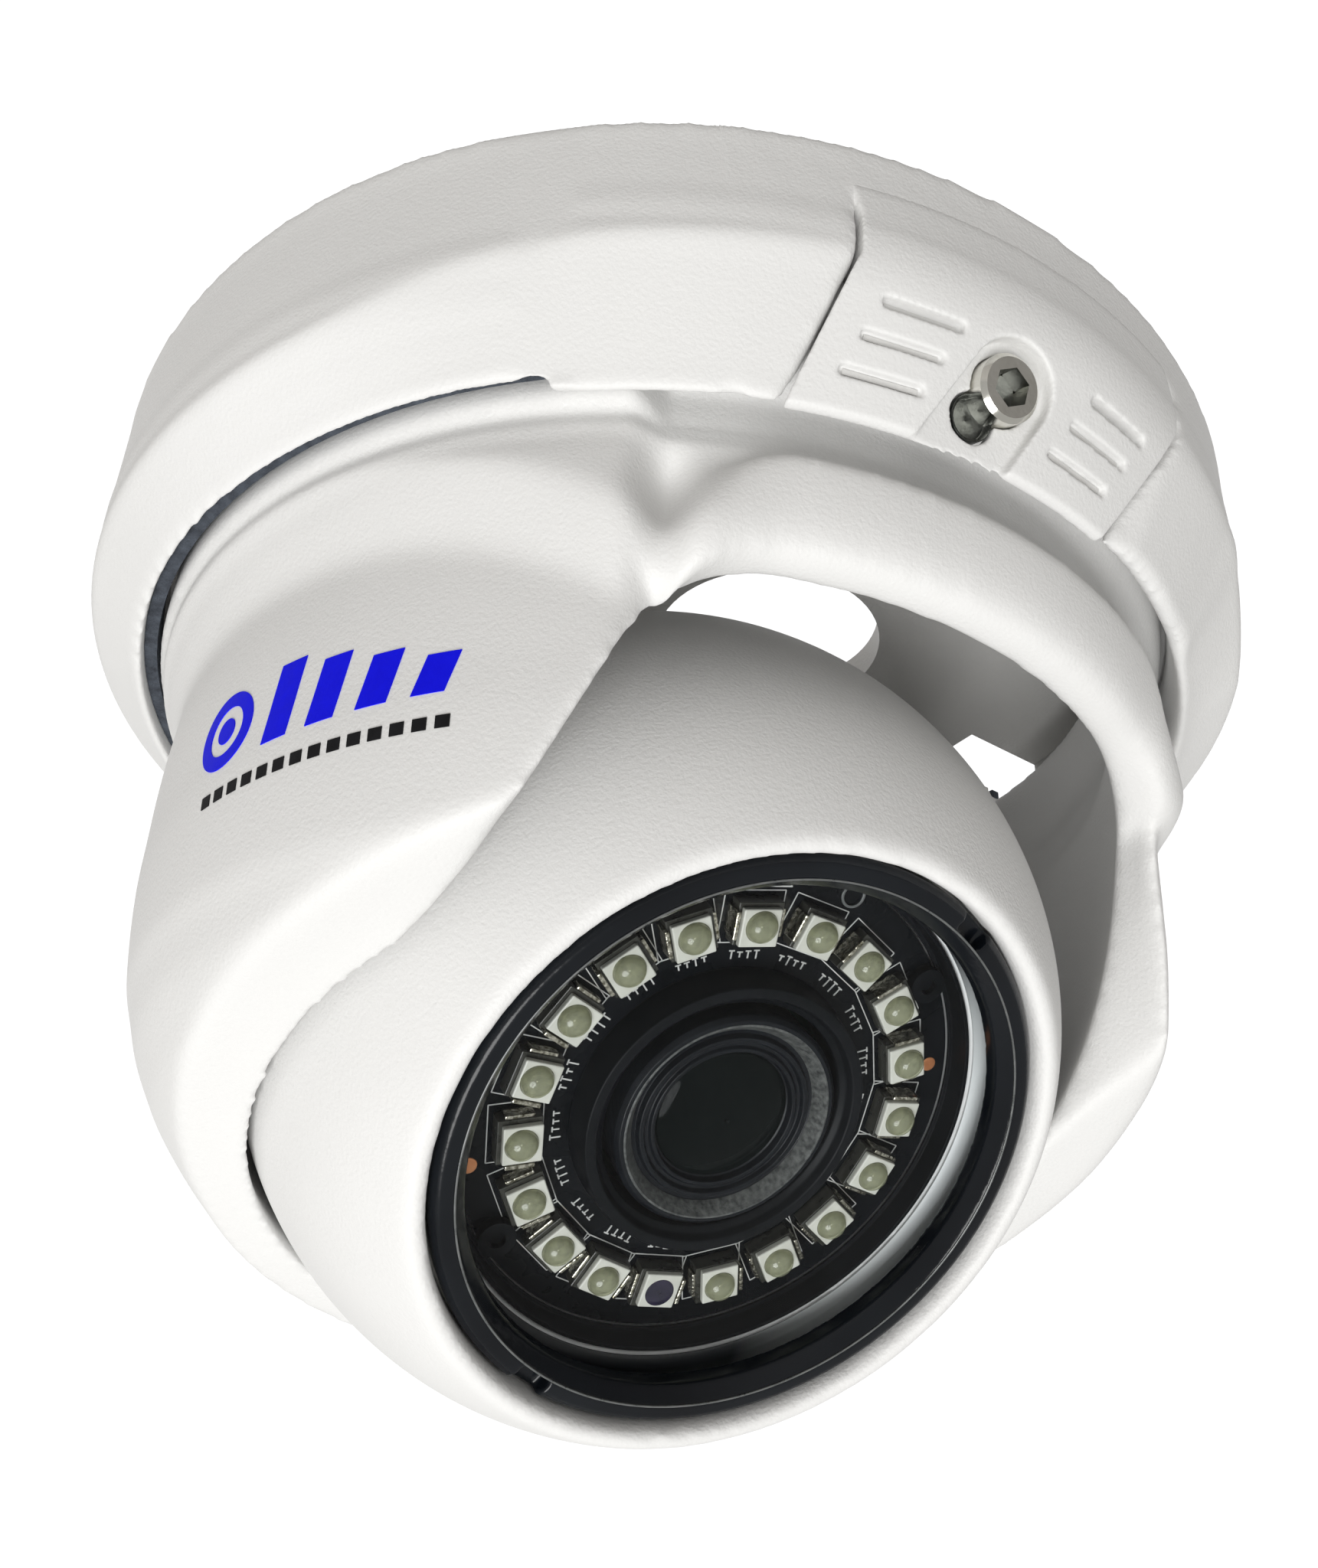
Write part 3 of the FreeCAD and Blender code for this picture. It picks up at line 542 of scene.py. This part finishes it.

# Threaded sleeve in the side hole beside the lock screw; the threads are real, its dark colour is
# painted shade inside the hole.
THREAD_PITCH = 0.24
thread = [(0.02, -2.35), (1.55, -2.35), (1.55, -1.45)]
for i in range(3):
    thread += [(1.50, -1.45 - THREAD_PITCH * i), (1.32, -1.57 - THREAD_PITCH * i)]
thread.append((0.02, -2.15))
beside_lock = LOCK @ Matrix.Translation((2.4 * MM, -1.6 * MM, 0))
sharpen(add_piece("side_hole_thread", turned(thread, 0.02, 96, beside_lock), DARK_STEEL_AND_SHADE, "root"))
# Dark disc at the bottom of the lock screw's hex socket: painted shade.
socket_shade_outline = [(0.02, -1.79), (1.3, -1.79), (1.3, -1.70), (0.3, -1.74), (0.02, -1.74)]
sharpen(add_piece("socket_painted_shade", turned(socket_shade_outline, 0.02, 96, LOCK), DARK_STEEL_AND_SHADE, "lock"))

# ---------------------------------------------------------------- ball, bezel and seal
cast("ball_front_casting", "ball_front_shell", "ball", 0.4, 5)
cast("ball_rear_casting", "ball_rear_shell", "ball", 0.5, 5)
cast("bezel_turning", "bezel_ring", "ball", 0.13, 3, material=BLACK_GLOSS)

liner = [(17.9, 13.05), (18.55, 13.05), (18.55, 14.95), (18.25, 14.95), (18.2, 13.3), (17.9, 13.3)]
add_piece("cup_liner", turned(liner, 0.05), BLACK_SATIN, "ball")
seal = [(18.8, 15.0), (20.4, 15.0), (20.4, 15.58), (19.6, 15.5), (18.8, 15.1)]
# The window seal carries the painted highlight on its +X side.
sharpen(add_piece("window_seal", turned(seal, 0.1), SEAL_PAINTED_HIGHLIGHT, "ball",
                  ["window_gasket"]))
# Thin lighter metal ring on the bezel's inner edge: a painted highlight line.
bezel_highlight_line = [(19.22, 19.42), (19.36, 19.42), (19.36, 19.54), (19.22, 19.54)]
add_piece("bezel_painted_highlight", turned(bezel_highlight_line, 0.05), EYELET, "ball")

# ---------------------------------------------------------------- lens
hood = [(8.5, 11.6), (9.2, 11.6), (9.2, 13.0), (10.3, 13.0), (9.95, 15.45), (9.2, 15.45),
        (8.95, 14.9), (8.5, 14.6)]
sharpen(add_piece("lens_shroud", turned(hood, 0.12), BLACK_SATIN, "ball",
                  ["lens_hood"]))
barrel = [(4.6, 3.6), (6.0, 3.6), (6.0, 9.2), (7.9, 9.2), (7.9, 15.1), (7.6, 15.45), (7.2, 15.45),
          (6.5, 14.5), (6.2, 14.45), (6.05, 14.9), (5.75, 14.9), (5.6, 14.55), (5.35, 14.55),
          (5.2, 14.8), (4.95, 14.8), (4.85, 14.3), (4.6, 14.2)]
sharpen(add_piece("lens_turning", turned(barrel, 0.06), ANODISED, "ball",
                  ["lens_barrel"]), 25)
# Bevel ring on the barrel's front rim, lighter grey as a painted highlight.
bevel_ring = [(7.35, 15.47), (7.2, 15.5), (6.5, 14.56), (6.6, 14.5)]
sharpen(add_piece("lens_bevel", turned(bevel_ring, 0.02), RIM_HIGHLIGHT_GREY, "ball"))
glass = [(0.02, 12.4), (4.55, 12.4), (4.82, 12.7), (4.82, 14.25), (4.3, 14.5), (3.4, 14.78),
         (2.3, 15.0), (1.2, 15.11), (0.02, 15.15)]
sharpen(add_piece("lens_front_dome", turned(glass, 0.3, 128), COATED, "ball",
                  ["lens_front_glass"]))

# ---------------------------------------------------------------- illuminator
led_angles = [math.radians(90 + 360 / LED_PLACES * place) for place in range(LED_PLACES)]
on_board = BOARD_TOP + PRINT_TALL / 2
bodies, packages, terminals, lines, domes = Boxes(), Boxes(), Boxes(), Boxes(), bmesh.new()
for place, angle in enumerate(led_angles):
    body_tall = LED_TALL - FRAME_TALL
    bodies.add((LED_SHORT, LED_LONG - 0.5, body_tall), (LED_CIRCLE, 0, BOARD_TOP + body_tall / 2),
               angle, 0.06)
    packages.add((LED_SHORT - 0.35, LED_LONG - 1.0, FRAME_TALL),
                 (LED_CIRCLE - 0.1, 0.05, LED_TOP - FRAME_TALL / 2), angle, 0.1)
    for side, height in ((1, LED_TALL - 0.1), (-1, LED_TALL - 0.6)):
        terminals.add((LED_SHORT - 1.0, 0.3, height),
                      (LED_CIRCLE, side * (LED_LONG / 2 - 0.15), BOARD_TOP + height / 2), angle)
        lines.add((PRINT_WIDE, 4.3, PRINT_TALL), (LED_CIRCLE + side * 1.85, 0, on_board), angle, 0)
        lines.add((3.7, PRINT_WIDE, PRINT_TALL), (LED_CIRCLE, side * 2.15, on_board), angle, 0)
    for tick in range(4):
        length = random.uniform(0.35, 0.8)
        run = -0.9 + 0.6 * tick
        lines.add((length, TICK_WIDE, PRINT_TALL), (LED_CIRCLE - 2.75, run, on_board), angle, 0)
        lines.add((TICK_WIDE, 0.4, PRINT_TALL), (LED_CIRCLE - 2.75 + length / 2, run, on_board),
                  angle, 0)
    if place == SENSOR_PLACE:
        continue
    spot = (BALL @ Matrix.Rotation(angle, 4, "Z")
            @ Matrix.Translation(Vector((LED_CIRCLE, 0, LED_TOP)) * MM))
    made = bmesh.ops.create_uvsphere(domes, u_segments=32, v_segments=20, radius=DOME_R * MM)
    bmesh.ops.transform(domes, matrix=spot @ Matrix.Diagonal((1, 1, DOME_FLATTEN, 1)),
                        verts=made["verts"])
SCALE_AZ = math.radians(108)              # a row of short lines near the window's edge
for tick in range(5):
    lines.add((0.9, TICK_WIDE, PRINT_TALL), (16.5, 1.1 * (tick - 2), on_board), SCALE_AZ, 0)
lines.add((TICK_WIDE, 4.6, PRINT_TALL), (16.05, 0, on_board), SCALE_AZ, 0)


def board_spots(name, spots, outline, material):
    """Small turned parts on the board. Spots are (azimuth, radius, size); the outline's radii
    are multiplied by the size."""
    bm = bmesh.new()
    for azimuth, radius, size in spots:
        place = (BALL @ Matrix.Rotation(math.radians(azimuth), 4, "Z")
                 @ Matrix.Translation(Vector((radius, 0, BOARD_TOP)) * MM))
        mesh = turned([(r * size, h) for r, h in outline], 0.03, 48, place)
        bm.from_mesh(mesh)
        bpy.data.meshes.remove(mesh)
    sharpen(add_piece(name, mesh_of(bm, name), material, "ball"))


led_spots = [(math.degrees(angle), LED_CIRCLE, 1.0) for angle in led_angles]
sensor_spot = led_spots.pop(SENSOR_PLACE)
well_floor, well_top = LED_TALL - WELL_DEEP, LED_TALL + 0.01
board_spots("led_reflectors", led_spots, ((0.05, well_floor), (1.14, well_floor),
                                          (1.14, well_top), (0.05, well_top)), LED_WELL)
board_spots("sensor_eye", [sensor_spot], ((0.02, well_floor), (1.05, well_floor),
                                          (1.05, LED_TALL + 0.04), (0.02, LED_TALL + 0.06)), SENSOR)
board_spots("copper_spots", COPPER_DOTS, ((0.02, 0.0), (1.0, 0.0), (0.95, 0.06), (0.02, 0.06)),
            COPPER)
board_spots("board_eyelets", EYELETS, ((0.78, 0.0), (1.0, 0.0), (1.0, 0.16), (0.78, 0.16)), EYELET)
# Package bodies under the white tops, coloured dark as painted shade.
add_piece("led_bodies_painted_shade", bodies.mesh("bodies"), LED_SIDE_SHADE, "ball", smooth=False)
add_piece("led_packages", packages.mesh("packages"), PACKAGE, "ball",
          ["ir_leds", "light_sensor"], False)
add_piece("led_terminals", terminals.mesh("terminals"), TIN, "ball", smooth=False)
add_piece("led_domes", mesh_of(domes, "domes"), LED_DOME, "ball", ["led_lenses"])
add_piece("board_print", lines.mesh("print"), PRINT, "ball", smooth=False)
nodes["led_board_screws"].data.materials[0] = BLACK_SATIN

# ---------------------------------------------------------------- generic mark on the cheek
MARK_FROM, MARK_R = -173.0, 37.5          # azimuth of its start; radius its widths are measured on
INK_TALL, INK_LIFT = 0.1, 0.06


def skin_print(name, patches, material):
    """Thin raised print on the cowl. Each patch is a grid of (run, z) in mm, with the run
    measured round the cowl."""
    skin = BVHTree.FromPolygons([v.co for v in cowl.data.vertices],
                                [p.vertices for p in cowl.data.polygons])
    bm = bmesh.new()
    for grid in patches:
        rows = []
        for line in grid:
            row = []
            for run, z in line:
                angle = math.radians(MARK_FROM) + run / MARK_R
                outward = Vector((math.cos(angle), math.sin(angle), 0))
                start = outward * 60 * MM + Vector((0, 0, z * MM))
                hit, normal = skin.ray_cast(start, -outward)[:2]
                row.append(bm.verts.new(hit + normal * INK_LIFT * MM))
            rows.append(row)
        for before, after in zip(rows, rows[1:]):
            for i in range(len(before) - 1):
                bm.faces.new((before[i], before[i + 1], after[i + 1], after[i]))
    bmesh.ops.remove_doubles(bm, verts=bm.verts, dist=1e-7)
    bmesh.ops.recalc_face_normals(bm, faces=bm.faces)
    bmesh.ops.solidify(bm, geom=bm.faces, thickness=INK_TALL * MM)
    bmesh.ops.recalc_face_normals(bm, faces=bm.faces)
    add_piece(name, mesh_of(bm, name), material, "bracket", smooth=False)


def round_patch(run, z, inner, outer):
    turns = [2 * math.pi * i / 48 for i in range(49)]
    return [[(run + r * math.cos(t), z + r * math.sin(t)) for t in turns]
            for r in np.linspace(inner, outer, 4)]


def bar_patch(run, width, low, high, lean=0.0):
    return [[(run + width * i / 6 + lean * (z - low) / (high - low), z) for i in range(7)]
            for z in np.linspace(low, high, 10)]


blue = [round_patch(2.8, -34.3, 1.75, 2.75), round_patch(2.8, -34.3, 0.01, 0.9)]
blue += [bar_patch(7.0 + 3.7 * i, 2.1, -37.0, -31.6 - 0.9 * i, 0.8) for i in range(4)]
dark = [bar_patch(1.4 + 1.42 * i, 0.9, -39.4, -38.6) for i in range(14)]
skin_print("cheek_mark", blue, BLUE_PRINT)
skin_print("cheek_dashes", dark, DARK_PRINT)

# ---------------------------------------------------------------- every CAD node that still shows
for cad in nodes.values():
    if not cad.hide_render:
        cad.data.polygons.foreach_set("use_smooth", [True] * len(cad.data.polygons))
        sharpen(cad, 30)

# ---------------------------------------------------------------- stage
FLOOR_HALF, FLOOR_Z = 30, -0.9            # metres
corners = [(x * FLOOR_HALF, y * FLOOR_HALF, FLOOR_Z) for x, y in ((-1, -1), (1, -1), (1, 1), (-1, 1))]
floor_mesh = bpy.data.meshes.new("floor")
floor_mesh.from_pydata(corners, [], [(0, 1, 2, 3)])
floor_mesh.materials.append(finish("pale_floor", (0.72, 0.72, 0.71), (0.76, 0.76, 0.75),
                                   3, 300, 0.0001, (0.7, 0.8)))
floor = bpy.data.objects.new("floor", floor_mesh)
bpy.context.scene.collection.objects.link(floor)

# ---------------------------------------------------------------- light
LAMP_AT, LAMP_TO = Vector((-0.18, -0.18, -0.50)), Vector((0, 0, -0.03))      # metres
light = bpy.data.lights.new("key_from_below", "AREA")
light.shape, light.size, light.energy, light.color = "DISK", 0.32, 2.15, (1.0, 0.998, 0.99)
lamp = bpy.data.objects.new("key_from_below", light)
lamp.location = LAMP_AT
lamp.rotation_mode = "QUATERNION"
lamp.rotation_quaternion = (LAMP_TO - LAMP_AT).to_track_quat("-Z", "Y")
bpy.context.scene.collection.objects.link(lamp)

world = bpy.data.worlds.new("studio")
world.use_nodes = True
sky = world.node_tree
direction = node(sky, "ShaderNodeTexCoord").outputs["Generated"]


def glow(towards, start, end, low, high):
    """Strength that rises smoothly where the direction turns towards a given one."""
    along = node(sky, "ShaderNodeVectorMath", {0: direction, 1: towards}, operation="DOT_PRODUCT")
    return node(sky, "ShaderNodeMapRange", {"Value": along.outputs["Value"],
                                            "From Min": start, "From Max": end,
                                            "To Min": low, "To Max": high},
                interpolation_type="SMOOTHSTEP").outputs[0]


BACKDROP_AT, SURROUND_AT = (0.46, 0.70, 0.54), (-0.80, -0.30, -0.50)
backdrop = glow(BACKDROP_AT, 0.30, 0.82, 0.0, 1.0)
surround = glow(SURROUND_AT, -0.9, 0.9, 0.10, 0.56)
strength = node(sky, "ShaderNodeMix", {"Factor": backdrop, "A": surround, "B": 1.10})
tint = tones(sky, backdrop, [(0.0, (1.0, 0.965, 0.925)), (1.0, (1.0, 1.0, 1.0))])
studio = sky.nodes["Background"]
sky.links.new(strength.outputs["Result"], studio.inputs["Strength"])
sky.links.new(tint, studio.inputs["Color"])
bpy.context.scene.world = world
bpy.context.scene.view_settings.view_transform = "Standard"

# ---------------------------------------------------------------- camera
CAMERA_AT = Vector((-55.54, -84.94, -84.56))                         # mm
RIGHT, UP = Vector((0.8215, -0.5687, 0.0420)), Vector((-0.3361, -0.4233, 0.8413))
BACK = Vector((-0.4607, -0.7053, -0.5389))
camera_data = bpy.data.cameras.new("camera")
camera_data.lens = 33.4
camera_data.clip_start, camera_data.clip_end = 0.005, 20
camera = bpy.data.objects.new("camera", camera_data)
facing = Matrix((RIGHT, UP, BACK)).transposed().to_4x4()
camera.matrix_world = Matrix.Translation(CAMERA_AT * MM) @ facing
bpy.context.scene.collection.objects.link(camera)
bpy.context.scene.camera = camera
